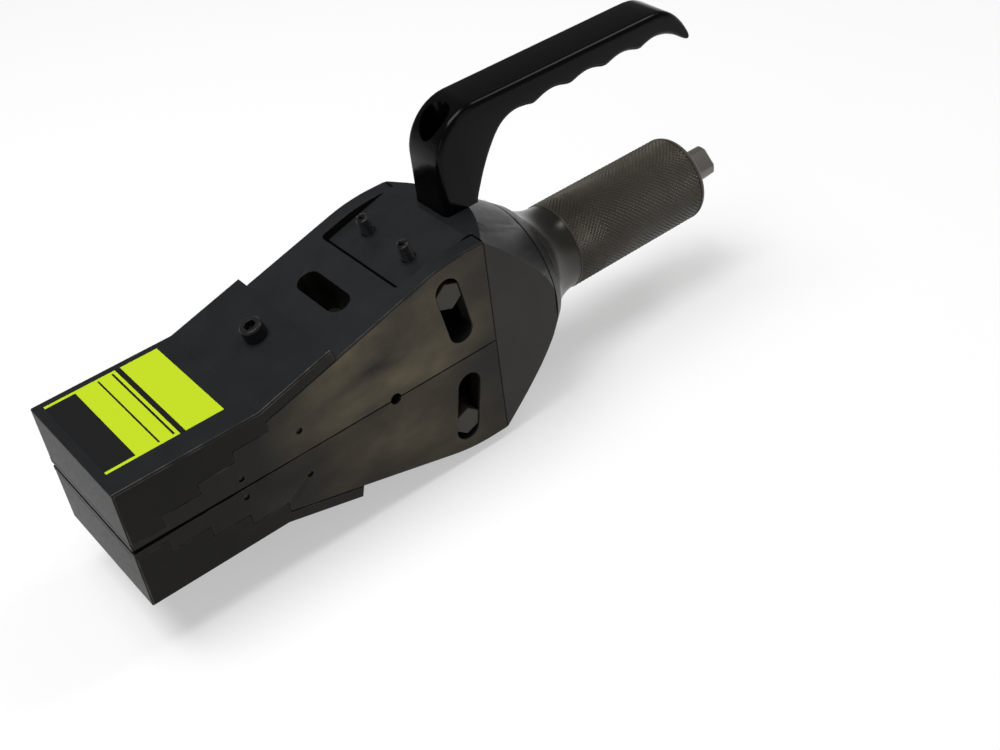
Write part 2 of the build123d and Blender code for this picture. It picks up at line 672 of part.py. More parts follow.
# Drive screw: thread, collar, journal and square end
collar_start = ring_x + SEAT_GAP
journal_start = collar_start + COLLAR_LENGTH
drive_start = GRIP_END + SLIDE_GAP

with BuildPart() as drive_screw:
    with BuildSketch(Plane.YZ.offset(SCREW_START)):
        Circle(SCREW_RADIUS)
    extrude(amount=collar_start - SCREW_START)
    lead_edge = drive_screw.edges().sort_by(Axis.X)[0]
    chamfer(lead_edge, 2 * EDGE_BREAK)
    with BuildSketch(Plane.YZ.offset(collar_start)):
        Circle(COLLAR_RADIUS)
    extrude(amount=COLLAR_LENGTH)
    with BuildSketch(Plane.YZ.offset(journal_start)):
        Circle(JOURNAL_RADIUS)
    extrude(amount=drive_start - journal_start)
    with BuildSketch(Plane.YZ.offset(drive_start)):
        Rectangle(DRIVE_SQUARE, DRIVE_SQUARE, rotation=DRIVE_TURN)
        Circle(DRIVE_CORNER, mode=Mode.INTERSECT)
    extrude(amount=DRIVE_LENGTH)
    tip_face = drive_screw.faces().sort_by(Axis.X)[-1]
    chamfer(tip_face.edges(), DRIVE_CHAMFER)

# Thrust bearing behind the collar
front_washer_end = journal_start + WASHER_THICKNESS
ball_x = front_washer_end + SEAT_GAP + BALL_RADIUS
ball_pitch = (SLEEVE_BORE + JOURNAL_RADIUS) / 2
race_outer = SLEEVE_BORE - SLIDE_GAP

with BuildPart() as front_thrust_washer:
    with BuildSketch(Plane.YZ.offset(journal_start)):
        Circle(race_outer)
        Circle(JOURNAL_RADIUS + RUN_FIT, mode=Mode.SUBTRACT)
    extrude(amount=WASHER_THICKNESS)

with BuildPart() as rear_thrust_washer:
    with BuildSketch(Plane.YZ.offset(wall_start - WASHER_THICKNESS)):
        Circle(race_outer)
        Circle(JOURNAL_RADIUS + SLIDE_GAP, mode=Mode.SUBTRACT)
    extrude(amount=WASHER_THICKNESS)

with BuildPart() as thrust_balls:
    with Locations(Plane.YZ.offset(ball_x)):
        with PolarLocations(ball_pitch, BALL_COUNT):
            Sphere(BALL_RADIUS)

with BuildPart() as ball_cage:
    with BuildSketch(Plane.YZ.offset(ball_x - CAGE_THICKNESS / 2)):
        Circle(race_outer - RUN_FIT)
        Circle(JOURNAL_RADIUS + SLIDE_GAP, mode=Mode.SUBTRACT)
        with PolarLocations(ball_pitch, BALL_COUNT):
            Circle(BALL_RADIUS + RUN_FIT, mode=Mode.SUBTRACT)
    extrude(amount=CAGE_THICKNESS)

# Carry handle: upright with a deep bolt hole, bar with finger scallops, hooked end
handle_rear = HANDLE_FRONT + HANDLE_FOOT
first_cusp = LAST_CUSP - SCALLOP_COUNT * SCALLOP_PITCH
inner_top = first_cusp - SCALLOP_PITCH / 2

with BuildPart() as handle:
    with BuildSketch(Plane.XZ) as handle_side:
        with BuildLine():
            Line((handle_rear, HOUSING_HEIGHT), (HANDLE_FRONT, HOUSING_HEIGHT))
            Line((HANDLE_FRONT, HOUSING_HEIGHT), (HANDLE_FRONT, HANDLE_TOP - HANDLE_BEND))
            RadiusArc(
                (HANDLE_FRONT, HANDLE_TOP - HANDLE_BEND),
                (HANDLE_FRONT + HANDLE_BEND, HANDLE_TOP),
                HANDLE_BEND,
            )
            Line((HANDLE_FRONT + HANDLE_BEND, HANDLE_TOP), (HOOK_START, HANDLE_TOP))
            hook_back = TangentArc(
                (HOOK_START, HANDLE_TOP),
                (HANDLE_END, HOOK_BOTTOM + HOOK_LIP),
                tangent=(1, 0),
            )
            Line(hook_back @ 1, (HANDLE_END - 2 * HOOK_LIP, HOOK_BOTTOM))
            ThreePointArc(
                (HANDLE_END - 2 * HOOK_LIP, HOOK_BOTTOM),
                (LAST_CUSP + 0.55 * SCALLOP_PITCH, UNDERSIDE + 1.1 * SCALLOP_DEPTH),
                (LAST_CUSP, UNDERSIDE),
            )
            for number in range(SCALLOP_COUNT):
                cusp_x = LAST_CUSP - number * SCALLOP_PITCH
                ThreePointArc(
                    (cusp_x, UNDERSIDE),
                    (cusp_x - SCALLOP_PITCH / 2, UNDERSIDE + SCALLOP_DEPTH),
                    (cusp_x - SCALLOP_PITCH, UNDERSIDE),
                )
            Spline(
                (first_cusp, UNDERSIDE),
                (inner_top, UNDERSIDE + 0.6 * SCALLOP_DEPTH),
                (handle_rear + HANDLE_WAIST, HANDLE_TOP - 0.95 * HANDLE_BEND),
                (handle_rear, HOUSING_HEIGHT),
                tangents=((-1, 0.5), (-0.25, -1)),
            )
        make_face()
        cusps = handle_side.vertices().filter_by(lambda corner: abs(corner.Y - UNDERSIDE) < 0.01)
        fillet(cusps, CUSP_ROUND)
    extrude(amount=HANDLE_WIDTH / 2, both=True)
    long_edges = handle.edges().filter_by(
        lambda edge: abs(abs(edge.center().Y) - HANDLE_WIDTH / 2) < 0.01
        and edge.center().Z > HOUSING_HEIGHT + 1
    )
    fillet(long_edges, HANDLE_ROUND)
    with BuildSketch(Plane.XY.offset(HANDLE_SEAT)):
        with Locations((HANDLE_BOLT_X, 0)):
            Circle(HANDLE_COUNTERBORE)
    extrude(amount=HANDLE_TOP - HANDLE_SEAT, mode=Mode.SUBTRACT)
    with BuildSketch(Plane.XY.offset(HOUSING_HEIGHT)):
        with Locations((HANDLE_BOLT_X, 0)):
            Circle(HANDLE_BOLT_RADIUS + SEAT_GAP)
    extrude(amount=HANDLE_SEAT - HOUSING_HEIGHT, mode=Mode.SUBTRACT)
    with BuildSketch(Plane.XY.offset(HOUSING_HEIGHT)):
        with Locations((HANDLE_BOLT_X, DOWEL_SPREAD), (HANDLE_BOLT_X, -DOWEL_SPREAD)):
            Circle(DOWEL_RADIUS + RUN_FIT)
    extrude(amount=DOWEL_LENGTH / 2, mode=Mode.SUBTRACT)

with BuildPart() as handle_bolt:
    with BuildSketch(Plane.XY.offset(HANDLE_SEAT)):
        with Locations((HANDLE_BOLT_X, 0)):
            Circle(HANDLE_HEAD_RADIUS)
    extrude(amount=HANDLE_HEAD_HEIGHT)
    with BuildSketch(Plane.XY.offset(HANDLE_SEAT)):
        with Locations((HANDLE_BOLT_X, 0)):
            Circle(HANDLE_BOLT_RADIUS)
    extrude(amount=-HANDLE_BOLT_LENGTH)
    with BuildSketch(Plane.XY.offset(HANDLE_SEAT + HANDLE_HEAD_HEIGHT)):
        with Locations((HANDLE_BOLT_X, 0)):
            RegularPolygon(hexagon_across(HANDLE_SOCKET), 6)
    extrude(amount=-HANDLE_HEAD_HEIGHT / 2, mode=Mode.SUBTRACT)

with BuildPart() as handle_dowels:
    with BuildSketch(Plane.XY.offset(HOUSING_HEIGHT - DOWEL_LENGTH / 2 + RUN_FIT)):
        with Locations((HANDLE_BOLT_X, DOWEL_SPREAD), (HANDLE_BOLT_X, -DOWEL_SPREAD)):
            Circle(DOWEL_RADIUS)
    extrude(amount=DOWEL_LENGTH - 2 * RUN_FIT)

finish(upper_jaw.part, "upper_jaw")
finish(lower_jaw.part, "lower_jaw")
finish(upper_spring_pins.part, "upper_spring_pins")
finish(lower_spring_pins.part, "lower_spring_pins")
finish(upper_block.part, "upper_step_block")
finish(lower_block.part, "lower_step_block")
finish(upper_block_screw.part, "upper_block_screw")
finish(lower_block_screw.part, "lower_block_screw")
finish(wedge.part, "wedge")
finish(drive_nut.part, "drive_nut")
finish(nut_pins.part, "nut_pins")
finish(housing.part, "housing")
finish(guide_bolts.part, "guide_bolts")
finish(lock_screws.part, "lock_screws")
finish(tail_bush.part, "tail_bush")
finish(tail_wiper.part, "tail_wiper")
finish(sleeve.part, "sleeve")
finish(journal_bush.part, "journal_bush")
finish(journal_seal.part, "journal_seal")
finish(retaining_ring.part, "retaining_ring")
finish(drive_screw.part, "drive_screw")
finish(front_thrust_washer.part, "front_thrust_washer")
finish(rear_thrust_washer.part, "rear_thrust_washer")
finish(thrust_balls.part, "thrust_balls")
finish(ball_cage.part, "ball_cage")
finish(handle.part, "carry_handle")
finish(handle_bolt.part, "handle_bolt")
finish(handle_dowels.part, "handle_dowels")
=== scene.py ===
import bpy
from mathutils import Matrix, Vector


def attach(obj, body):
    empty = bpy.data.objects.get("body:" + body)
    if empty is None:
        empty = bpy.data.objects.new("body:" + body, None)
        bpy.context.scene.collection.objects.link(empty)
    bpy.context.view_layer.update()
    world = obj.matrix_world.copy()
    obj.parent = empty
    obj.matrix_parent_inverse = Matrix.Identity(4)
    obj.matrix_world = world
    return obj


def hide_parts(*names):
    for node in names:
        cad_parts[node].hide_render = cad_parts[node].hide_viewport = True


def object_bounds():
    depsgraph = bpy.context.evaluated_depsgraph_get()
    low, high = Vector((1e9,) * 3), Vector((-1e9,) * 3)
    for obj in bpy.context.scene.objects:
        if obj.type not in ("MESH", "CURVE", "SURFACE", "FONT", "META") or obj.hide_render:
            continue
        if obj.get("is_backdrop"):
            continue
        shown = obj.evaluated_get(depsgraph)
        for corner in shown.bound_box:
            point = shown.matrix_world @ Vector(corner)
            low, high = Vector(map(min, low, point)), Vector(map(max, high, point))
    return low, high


bl_info = {
    "name": "Flange spreader",
    "version": (1, 0, 0),
    "blender": (4, 5, 0),
    "location": "View3D > Sidebar > Spreader",
    "description": "Dresses a screw-driven flange spreader in blackened steel, knurl and enamel",
    "category": "Object",
}

from math import atan2, cos, pi, radians, sin

import bmesh
import bpy
import numpy as np
from mathutils import Matrix, Vector

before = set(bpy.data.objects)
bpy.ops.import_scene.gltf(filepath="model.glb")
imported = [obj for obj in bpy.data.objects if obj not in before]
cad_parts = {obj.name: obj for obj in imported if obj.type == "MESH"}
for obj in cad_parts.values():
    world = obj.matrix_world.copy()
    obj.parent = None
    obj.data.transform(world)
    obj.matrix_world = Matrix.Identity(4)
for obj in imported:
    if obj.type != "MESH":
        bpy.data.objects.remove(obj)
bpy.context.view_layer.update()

MM = 0.001

# Places and sizes that follow the solids, in millimetres
HALF_WIDTH = 30.0
BLOCK_TOP = 25.4
GRIP_RADIUS = 18.0
GRIP_START = 203.0
GRIP_END = 272.0
GRIP_ROUND = 3.0
NECK_RADIUS = 17.6
FLANGE_START = 179.4
FLANGE_RADIUS = 30.4
FLANGE_END = 184.7
FLANGE_END_RADIUS = 26.6
SPIGOT_START = 170.4
SPIGOT_RADIUS = 20.0
SLEEVE_BORE = 13.0
REAR_WALL = 13.0
JOURNAL_BORE = 9.1
HANDLE_FRONT = 150.0
HANDLE_REAR = 165.5
HANDLE_BASE = 43.8
HANDLE_TOP = 82.0
HANDLE_BEND = 18.5
HANDLE_WIDTH = 19.0
HANDLE_BOLT_X = 157.4
HANDLE_SEAT = 54.0
HANDLE_HOLE = 5.8
HOOK_TIP = (271.0, 66.2)
RAMP_ANGLE = radians(15.7)
BOLT_X = 133.0
BOLT_Z = 28.8
LOCK_SPREAD = 12.2
LOCK_RADIUS = 2.5
LOCK_TOP = 17.7
LOCK_SUNK = 2.0

# Side outline of the handle, (x, z) in millimetres
TOP_RUN = (173.0, 251.0)
HOOK_CURVE = [(254.5, 81.95), (258.5, 81.4), (262.6, 79.6), (266.2, 76.9), (269.6, 72.9),
              (271.9, 68.6), (272.2, 66.4), (270.9, 65.6), (268.8, 66.8), (266.2, 68.6),
              (263, 70.3), (259, 71.7), (254.5, 72.3), (250.2, 71.6), (246.6, 70.2)]
HANDLE_CUSPS = [(246.6, 70.2), (229.4, 70.2), (212.2, 70.2), (195.0, 69.8)]
THROAT_CURVE = [(195.0, 69.8), (190.5, 70.9), (185.6, 71.1), (181.0, 69.6), (177.2, 66.4),
                (173.4, 61.0), (170.0, 54.7), (167.4, 48.7), (165.5, HANDLE_BASE)]
SCALLOP_DEPTH = 2.3
CUSP_ROUND = 4.0
CUSP_PASSES = 3
HOOK_THIN_FROM = 1.0
HOOK_THIN_OVER = 9.0
HOOK_THIN = 0.28
HOLE_PAST = 12.0

# Turned and knurled details of the sleeve, in millimetres
FLANGE_GROOVE = 1.4
FLANGE_BREAK = 0.3
FLANGE_BREAK_RUN = 0.7
NECK_STEP = 0.2
UNDER_SKIN = 0.1
KNURL_MARGIN = 0.7
KNURL_RELIEF = 0.3
KNURL_BACKING = 0.4
KNURL_FLAT = 1.35
DIAMOND_STEPS = 4

# Thread and socket of the locking screws: millimetres, then shares of the pitch or of the radius
THREAD_PITCH = 1.0
SOCKET_RADIUS = 1.45
SOCKET_DEPTH = 2.6
SOCKET_PAST = 1.4
THREAD_DEPTH = 0.54
THREAD_RUNOUT = 0.6
THREAD_END = 0.82

# Widths of rounded edges in metres, and how the housing's edges differ from the rest
FASTENER_EDGE = 0.0002
BOLT_EDGE = 0.0009
SQUARE_EDGE = 0.0003
HOUSING_EDGE_RATIO = 2.2
HOUSING_EDGE_ANGLE = 45.0

# Mesh clean-up: points closer than this, in metres, and faces flatter than this, in degrees, become one
MERGE_WITHIN = 2e-6
FLAT_WITHIN = 0.6

# Blank label on the upper block, in millimetres
LABEL_ACROSS = (-19.6, 26.6)
LABEL_STRIPS = [(14.8, 23.0), (23.7, 28.4), (29.2, 30.4), (32.4, 46.8)]
LABEL_FRONT = 3.6
LABEL_BAR = 1.3
PANEL_RISE = 0.06
GROUND_RISE = 0.03

# Where the flanks turn from black to grey, and where they are rubbed brown, in millimetres
FLANK_FROM = (HALF_WIDTH - 1.2, HALF_WIDTH - 0.4)
GREY_FROM = (30.0, 95.0)
RUBBED_FROM = (50.0, 100.0)
RUBBED_TO = (170.0, 105.0)

# Studio, in metres, watts and degrees: each light has a name, a place, an aim, a width and a power
FLOOR_HALF = 20.0
FLOOR_GLOW = 0.45
LIGHTS = [
    ("overhead", (-0.20, 0.10, 1.3), (0.12, 0, 0), 0.8, 15.5),
    ("camera side", (0.45, -1.2, 0.5), (0.12, 0, 0), 0.5, 0.8),
    ("nose side", (-1.0, -0.3, 0.4), (0.05, 0, 0), 0.4, 0.7),
    ("rear overhead", (1.05, -0.10, 1.25), (0.2, 0, 0.05), 0.5, 4.0),
]
CAMERA_PLACE = (-0.08134, -0.36601, 0.31642)
CAMERA_AZIMUTH = 34.52
CAMERA_ELEVATION = 39.22
CAMERA_ROLL = -7.66
CAMERA_LENS = 50.9


def node_tree(name):
    """A new material with its node tree and its shader."""
    material = bpy.data.materials.new(name)
    material.use_nodes = True
    tree = material.node_tree
    return material, tree, tree.nodes["Principled BSDF"]


def noise(tree, coords, scale, detail, stretch=(1, 1, 1)):
    """Noise in object coordinates, with its own scale along each axis."""
    mapping = tree.nodes.new("ShaderNodeMapping")
    mapping.inputs["Scale"].default_value = stretch
    tree.links.new(coords, mapping.inputs["Vector"])
    texture = tree.nodes.new("ShaderNodeTexNoise")
    texture.inputs["Scale"].default_value = scale
    texture.inputs["Detail"].default_value = detail
    tree.links.new(mapping.outputs["Vector"], texture.inputs["Vector"])
    return texture.outputs["Fac"]


def ramp(tree, value, stops):
    """A colour ramp over a value: a list of (place, colour)."""
    node = tree.nodes.new("ShaderNodeValToRGB")
    elements = node.color_ramp.elements
    while len(elements) < len(stops):
        elements.new(0.5)
    for element, (place, colour) in zip(elements, stops):
        element.position = place
        element.color = (*colour, 1)
    tree.links.new(value, node.inputs["Fac"])
    return node.outputs["Color"]


def span(tree, value, low, high):
    """A value from 0 to 1 carried to a range."""
    node = tree.nodes.new("ShaderNodeMapRange")
    node.inputs["To Min"].default_value = low
    node.inputs["To Max"].default_value = high
    tree.links.new(value, node.inputs["Value"])
    return node.outputs["Result"]


def bump(tree, value, shader, strength, distance):
    """Fine relief on a shader."""
    node = tree.nodes.new("ShaderNodeBump")
    node.inputs["Strength"].default_value = strength
    node.inputs["Distance"].default_value = distance
    tree.links.new(value, node.inputs["Height"])
    tree.links.new(node.outputs["Normal"], shader.inputs["Normal"])


def mix(tree, factor, first, second):
    """A colour between two: a factor of 0 keeps the first, 1 the second. Its colour sockets go by number."""
    node = tree.nodes.new("ShaderNodeMix")
    node.data_type = "RGBA"
    tree.links.new(factor, node.inputs["Factor"])
    for socket, colour in zip((node.inputs[6], node.inputs[7]), (first, second)):
        if isinstance(colour, tuple):
            socket.default_value = (*colour, 1)
        else:
            tree.links.new(colour, socket)
    return node.outputs[2]


def times(tree, first, second):
    """The product of two values."""
    node = tree.nodes.new("ShaderNodeMath")
    node.operation = "MULTIPLY"
    tree.links.new(first, node.inputs[0])
    tree.links.new(second, node.inputs[1])
    return node.outputs["Value"]


def part_of(tree, coordinate, axis):
    """One part, X, Y or Z, of a texture coordinate."""
    parts = tree.nodes.new("ShaderNodeSeparateXYZ")
    tree.links.new(tree.nodes.new("ShaderNodeTexCoord").outputs[coordinate], parts.inputs["Vector"])
    return parts.outputs[axis]


def rising(tree, value, start, stop):
    """A value that goes from 0 to 1 as the size of another goes from start to stop."""
    size = tree.nodes.new("ShaderNodeMath")
    size.operation = "ABSOLUTE"
    tree.links.new(value, size.inputs[0])
    step = tree.nodes.new("ShaderNodeMapRange")
    step.inputs["From Min"].default_value = start
    step.inputs["From Max"].default_value = stop
    tree.links.new(size.outputs["Value"], step.inputs["Value"])
    return step.outputs["Result"]


def along(tree, axis, start, stop):
    """A value that goes from 0 to 1 along an axis of the object, between two places in millimetres."""
    return rising(tree, part_of(tree, "Object", axis), start * MM, stop * MM)


def painted_sheen_mask(tree):
    """How far a face of the object lies flat, from 0 on steep sides to 1 on tops and undersides: the mask of
    the painted reflection on flat faces.
    """
    return rising(tree, part_of(tree, "Normal", "Z"), 0.15, 0.75)


def blackened(name, top, side, brown, rough, metallic, shine, relief=0.12):
    """Oil-blackened steel: a painted bluish reflection on flat tops and undersides, black to grey on its
    sides, with rubbed brown patches.
    """
    material, tree, shader = node_tree(name)
    coords = tree.nodes.new("ShaderNodeTexCoord").outputs["Object"]
    outer = along(tree, "Y", *FLANK_FROM)
    greyer = mix(tree, times(tree, outer, along(tree, "X", *GREY_FROM)), tuple(0.45 * c for c in side), side)
    patches = ramp(tree, noise(tree, coords, 46, 6.0, (0.45, 1, 1)), [(0.36, (0, 0, 0)), (0.66, (1, 1, 1))])
    stretch = times(tree, along(tree, "X", *RUBBED_FROM), along(tree, "X", *RUBBED_TO))
    flank = mix(tree, times(tree, patches, times(tree, outer, stretch)), greyer, brown)
    cloud = span(tree, noise(tree, coords, 90, 4.0), 0.7, 1.35)
    shaded = tree.nodes.new("ShaderNodeVectorMath")
    shaded.operation = "SCALE"
    # Painted reflection: flat tops and undersides take the bluish top colour, standing in for the overhead
    # light's sheen, and steep sides take the flank colour.
    tree.links.new(mix(tree, painted_sheen_mask(tree), flank, top), shaded.inputs[0])
    tree.links.new(cloud, shaded.inputs["Scale"])
    tree.links.new(shaded.outputs["Vector"], shader.inputs["Base Color"])
    grain = noise(tree, coords, 420, 4.0)
    tree.links.new(span(tree, grain, *rough), shader.inputs["Roughness"])
    shader.inputs["Metallic"].default_value = metallic
    shader.inputs["Specular IOR Level"].default_value = shine
    bump(tree, noise(tree, coords, 900, 3.0), shader, relief, 0.0002)
    return material


def rubbed(name, dark, bright, rough, metallic):
    """An edge rubbed bright in places and still dark between them."""
    material, tree, shader = node_tree(name)
    coords = tree.nodes.new("ShaderNodeTexCoord").outputs["Object"]
    places = ramp(tree, noise(tree, coords, 130, 5.0), [(0.44, (0, 0, 0)), (0.62, (1, 1, 1))])
    tree.links.new(mix(tree, places, dark, bright), shader.inputs["Base Color"])
    shader.inputs["Roughness"].default_value = rough
    shader.inputs["Metallic"].default_value = metallic
    shader.inputs["Specular IOR Level"].default_value = 0.3
    return material


def plain(name, colour, rough, metallic=0.0, shine=0.5, relief=0.0):
    """One even colour, with an optional fine unevenness."""
    material, tree, shader = node_tree(name)
    shader.inputs["Base Color"].default_value = (*colour, 1)
    shader.inputs["Roughness"].default_value = rough
    shader.inputs["Metallic"].default_value = metallic
    shader.inputs["Specular IOR Level"].default_value = shine
    if relief:
        coords = tree.nodes.new("ShaderNodeTexCoord").outputs["Object"]
        bump(tree, noise(tree, coords, 160, 2.0), shader, relief, 0.0006)
    return material


def add_piece(name, mesh, materials, body, replaces=()):
    """Put a mesh into the scene as a piece that rides on a body."""
    piece = bpy.data.objects.new(name, mesh)
    bpy.context.scene.collection.objects.link(piece)
    mesh.materials.clear()
    for material in materials:
        mesh.materials.append(material)
    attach(piece, body)
    if replaces:
        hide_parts(*replaces)
    return piece


def grid_faces(rows, columns, wrap_rows):
    """Quads of a grid of points whose rows are rings, closed from the last row to the first where asked."""
    r, c = np.meshgrid(np.arange(rows if wrap_rows else rows - 1), np.arange(columns), indexing="ij")
    r2, c2 = (r + 1) % rows, (c + 1) % columns
    quads = np.stack([r * columns + c, r2 * columns + c, r2 * columns + c2, r * columns + c2], -1)
    return quads.reshape(-1, 4)


def grid_mesh(name, points, sharp, wrap_rows=False, caps=False):
    """A mesh on rings of points in metres; caps close its first and last ring."""
    rows, columns = points.shape[:2]
    vertices = points.reshape(-1, 3)
    faces = grid_faces(rows, columns, wrap_rows).tolist()
    if caps:
        faces.append(list(range(columns)))
        faces.append(list(range((rows - 1) * columns, rows * columns))[::-1])
    mesh = bpy.data.meshes.new(name)
    mesh.from_pydata(vertices.tolist(), [], faces)
    work = bmesh.new()
    work.from_mesh(mesh)
    bmesh.ops.remove_doubles(work, verts=work.verts, dist=1e-7)
    bmesh.ops.recalc_face_normals(work, faces=work.faces)
    work.to_mesh(mesh)
    work.free()
    smooth(mesh, sharp)
    return mesh


def smooth(mesh, angle):
    """Smooth shading, kept sharp where faces meet at more than this angle in degrees."""
    mesh.polygons.foreach_set("use_smooth", np.ones(len(mesh.polygons), dtype=bool))
    mesh.set_sharp_from_angle(angle=radians(angle))


def turned(name, profile, count=160):
    """A turned shape: each point of a closed profile (x, radius) in millimetres goes round the X axis."""
    profile = np.array(profile, dtype=float)
    turn = np.linspace(0, 2 * pi, count, endpoint=False)
    x = np.repeat(profile[:, :1], count, 1)
    y = profile[:, 1:] * np.cos(turn)
    z = profile[:, 1:] * np.sin(turn)
    points = np.stack([x, y, z], -1) * MM
    return grid_mesh(name, points, 35.0, wrap_rows=True)


def threaded_rod(name, radius, pitch, length, axis_start, axis, sections=28, per_turn=8):
    """A threaded rod along an axis, in millimetres.

    The radius falls by a triangle wave of the height over the pitch, less the share of a turn, and shrinks a
    little towards either end.
    """
    turn = np.linspace(0, 2 * pi, sections, endpoint=False)
    height = np.linspace(0, length, int(length / pitch * per_turn) + 1)
    h, t = np.meshgrid(height, turn, indexing="ij")
    phase = np.mod(h / pitch - t / (2 * pi), 1.0)
    depth = THREAD_DEPTH * pitch * (1 - np.abs(2 * phase - 1))
    edge = np.minimum(np.minimum(h, length - h) / (THREAD_RUNOUT * pitch), 1.0)
    r = (radius - depth) * (THREAD_END + (1 - THREAD_END) * edge)
    local = np.stack([r * np.cos(t), r * np.sin(t), h], -1)
    basis = np.array(Vector(axis).to_track_quat("Z", "Y").to_matrix())
    points = (local @ basis.T + np.array(axis_start)) * MM
    return grid_mesh(name, points, 30.0, caps=True)


def cut(piece, cutter_mesh):
    """Take a closed mesh out of a piece, once, with a boolean."""
    cutter = bpy.data.objects.new("cutter", cutter_mesh)
    bpy.context.scene.collection.objects.link(cutter)
    modifier = piece.modifiers.new("cut", "BOOLEAN")
    modifier.operation = "DIFFERENCE"
    modifier.solver = "EXACT"
    modifier.object = cutter
    bpy.context.view_layer.update()
    result = bpy.data.meshes.new_from_object(piece.evaluated_get(bpy.context.evaluated_depsgraph_get()))
    piece.modifiers.remove(modifier)
    piece.data = result
    bpy.data.objects.remove(cutter)


def prism(name, centre, axis, corners, radius, length):
    """A closed prism of a regular polygon, along an axis from its centre point, in millimetres."""
    angles = np.linspace(0, 2 * pi, corners, endpoint=False)
    ring = np.stack([radius * np.cos(angles), radius * np.sin(angles), np.zeros(corners)], -1)
    local = np.stack([ring, ring + np.array([0, 0, length])])
    basis = np.array(Vector(axis).to_track_quat("Z", "Y").to_matrix())
    points = (local @ basis.T + np.array(centre)) * MM
    return grid_mesh(name, points, 30.0, caps=True)


def sharpen_flats(mesh, least=2.0, corners=12):
    """Keep the rim of flat faces sharp, where a face of many corners meets another at an angle.

    The loops are sorted by their edge, so that two in a row with the same edge name its two faces. The edge
    is sharp where the angle between their normals, from the arc cosine of the dot product, is over the least.
    """
    totals = np.empty(len(mesh.polygons), dtype=np.int32)
    mesh.polygons.foreach_get("loop_total", totals)
    normals = np.empty(3 * len(mesh.polygons))
    mesh.polygons.foreach_get("normal", normals)
    normals = normals.reshape(-1, 3)
    edges = np.empty(len(mesh.loops), dtype=np.int32)
    mesh.loops.foreach_get("edge_index", edges)
    order = np.argsort(edges, kind="stable")
    edges, faces = edges[order], np.repeat(np.arange(len(totals)), totals)[order]
    paired = edges[:-1] == edges[1:]
    edge, one, other = edges[:-1][paired], faces[:-1][paired], faces[1:][paired]
    turned_by = np.degrees(np.arccos(np.clip((normals[one] * normals[other]).sum(1), -1, 1)))
    rim = (turned_by > least) & (np.maximum(totals[one], totals[other]) > corners)
    sharp = np.zeros(len(mesh.edges), dtype=bool)
    mesh.attributes["sharp_edge"].data.foreach_get("value", sharp)
    sharp[edge[rim]] = True
    mesh.attributes["sharp_edge"].data.foreach_set("value", sharp)


def edged_copy(node, name, body, face_material, edge_material, width, angle=25.0, clamp=True):
    """A copy of a CAD node with its edges rounded, and the rounded edges in a finish of their own."""
    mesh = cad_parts[node].data.copy()
    mesh.name = name
    work = bmesh.new()
    work.from_mesh(mesh)
    bmesh.ops.remove_doubles(work, verts=work.verts, dist=MERGE_WITHIN)
    bmesh.ops.dissolve_limit(work, angle_limit=radians(FLAT_WITHIN), verts=work.verts, edges=work.edges)
    work.to_mesh(mesh)
    work.free()
    smooth(mesh, angle)
    sharpen_flats(mesh)
    piece = add_piece(name, mesh, [face_material, edge_material], body, (node,))
    mesh.polygons.foreach_set("material_index", np.zeros(len(mesh.polygons), dtype=np.int32))
    bevel = piece.modifiers.new("rounded edges", "BEVEL")
    bevel.width = width
    bevel.segments = 2
    bevel.limit_method = "ANGLE"
    bevel.angle_limit = radians(angle)
    bevel.use_clamp_overlap = clamp
    bevel.harden_normals = True
    bevel.miter_outer = "MITER_ARC"
    bevel.material = 1
    return piece


def joined_mesh(name, meshes):
    """Several meshes as one."""
    work = bmesh.new()
    for mesh in meshes:
        work.from_mesh(mesh)
    result = bpy.data.meshes.new(name)
    work.to_mesh(result)
    work.free()
    return result


def box_corners(work, low, high):
    """A box between two corners, in millimetres, added to a mesh being built."""
    created = bmesh.ops.create_cube(work, size=1.0)
    low, high = np.array(low) * MM, np.array(high) * MM
    matrix = Matrix.Translation(Vector((low + high) / 2)) @ Matrix.Diagonal((*(high - low), 1))
    bmesh.ops.transform(work, matrix=matrix, verts=created["verts"])


class SteelSettings(bpy.types.PropertyGroup):
    """Colours and edges of the blackened steel."""

    # Painted reflection: the bluish black that flat faces take, standing in for the overhead light's sheen on
    # them.
    top: bpy.props.FloatVectorProperty(
        name="Tops", description="Bluish black of flat tops", subtype="COLOR",
        min=0, max=1, default=(0.0125, 0.0132, 0.0148))
    side: bpy.props.FloatVectorProperty(
        name="Sides", description="Dark brownish grey of the sides", subtype="COLOR",
        min=0, max=1, default=(0.0165, 0.0148, 0.0122))
    brown: bpy.props.FloatVectorProperty(
        name="Rubbed sides", description="Browner patches of the sides", subtype="COLOR",
        min=0, max=1, default=(0.120, 0.098, 0.060))
    worn: bpy.props.FloatVectorProperty(
        name="Worn edge", description="Steel that shows where edges have rubbed", subtype="COLOR",
        min=0, max=1, default=(0.060, 0.055, 0.045))
    edge_width: bpy.props.FloatProperty(
        name="Edge width", description="Width of the worn rounding on edges", subtype="DISTANCE",
        unit="LENGTH", min=0.0001, max=0.001, default=0.00016)


class GripSettings(bpy.types.PropertyGroup):
    """Knurl of the grip."""

    starts: bpy.props.IntProperty(
        name="Diamonds round", description="Diamonds once round the grip", min=30, max=120, default=60)
    pitch: bpy.props.FloatProperty(
        name="Diamond length", description="Length of a diamond along the grip", subtype="DISTANCE",
        unit="LENGTH", min=0.0008, max=0.005, default=0.0019)
    depth: bpy.props.FloatProperty(
        name="Knurl depth", description="Depth of the grooves", subtype="DISTANCE",
        unit="LENGTH", min=0.0001, max=0.001, default=0.00055)
    colour: bpy.props.FloatVectorProperty(
        name="Grip colour", description="Colour of the knurled steel", subtype="COLOR",
        min=0, max=1, default=(0.086, 0.078, 0.061))


